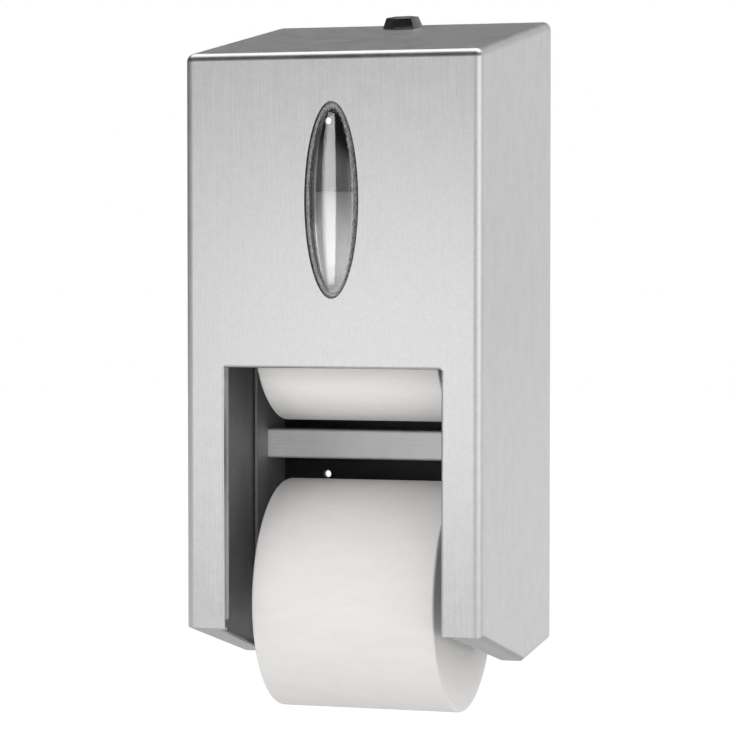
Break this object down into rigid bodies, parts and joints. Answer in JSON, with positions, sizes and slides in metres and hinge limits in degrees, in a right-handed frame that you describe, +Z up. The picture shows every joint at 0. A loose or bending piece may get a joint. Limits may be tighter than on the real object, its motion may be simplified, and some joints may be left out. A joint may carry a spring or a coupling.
{
  "type": "double roll toilet paper dispenser",
  "caption": "Wall-mounted stainless steel dispenser with a drop-front cover, an oval window, a top lock and an upper and a lower roll of toilet paper.",
  "frame": {"origin": "middle of the four wall holes, in the wall face of the back plate", "axes": "+X to the right as seen from the front, +Y into the wall, +Z up"},
  "size_m": [0.16, 0.1571, 0.3783],
  "materials": {
    "cover_steel": "brushed satin stainless steel",
    "plate_steel": "dull mill-finish steel",
    "bar_steel": "brushed along its length",
    "fixing_steel": "bright plated",
    "black_moulding": "fine matte texture",
    "lock_black": "satin black",
    "lock_brass": "nickel plated",
    "lens_clear": "clear polished polycarbonate",
    "gasket_foam": "soft foam",
    "bush_nylon": "natural nylon",
    "plug_plastic": "satin moulded",
    "tissue": "soft white tissue paper",
    "core_card": "plain grey-brown board"
  },
  "bodies": {
    "chassis": {"back_plate": "plate_steel", "latch_keeper": "plate_steel", "keeper_rivets": "fixing_steel", "back_liner": "black_moulding", "liner_pins": "black_moulding", "cross_bar": "bar_steel", "bar_rivets": "fixing_steel", "upper_left_bracket": "black_moulding", "upper_right_bracket": "black_moulding", "lower_left_bracket": "black_moulding", "lower_right_bracket": "black_moulding", "bracket_screws": "fixing_steel", "hinge_bushes": "bush_nylon"},
    "cover": {"cover_shell": "cover_steel", "hinge_studs": "fixing_steel", "stop_studs": "fixing_steel", "window_lens": "lens_clear", "lens_gasket": "gasket_foam", "lens_retainer": "plate_steel", "lens_studs": "fixing_steel", "lens_push_nuts": "fixing_steel", "lock_housing": "lock_black", "lock_washer": "fixing_steel", "lock_nut": "lock_brass"},
    "lock": {"lock_barrel": "lock_brass", "lock_cam": "fixing_steel", "cam_screw": "fixing_steel"},
    "upper_roll": {"upper_roll_paper": "tissue", "upper_roll_core": "core_card", "upper_left_plug": "plug_plastic", "upper_right_plug": "plug_plastic"},
    "lower_roll": {"lower_roll_paper": "tissue", "lower_roll_core": "core_card", "lower_left_plug": "plug_plastic", "lower_right_plug": "plug_plastic"}
  },
  "joints": [
    {"name": "cover_hinge", "type": "hinge", "parent": "chassis", "child": "cover", "pos_m": [0, -0.014, -0.178], "axis": [1, 0, 0], "range_deg": [0, 75]},
    {"name": "lock_turn", "type": "hinge", "parent": "cover", "child": "lock", "pos_m": [0, -0.022, 0.14974], "axis": [0, -0.1609, 0.987], "range_deg": [0, 90]},
    {"name": "upper_roll_spin", "type": "hinge", "parent": "chassis", "child": "upper_roll", "pos_m": [0, -0.074, -0.0035], "axis": [1, 0, 0], "continuous": true},
    {"name": "lower_roll_spin", "type": "hinge", "parent": "chassis", "child": "lower_roll", "pos_m": [0, -0.074, -0.1592], "axis": [1, 0, 0], "continuous": true}
  ]
}
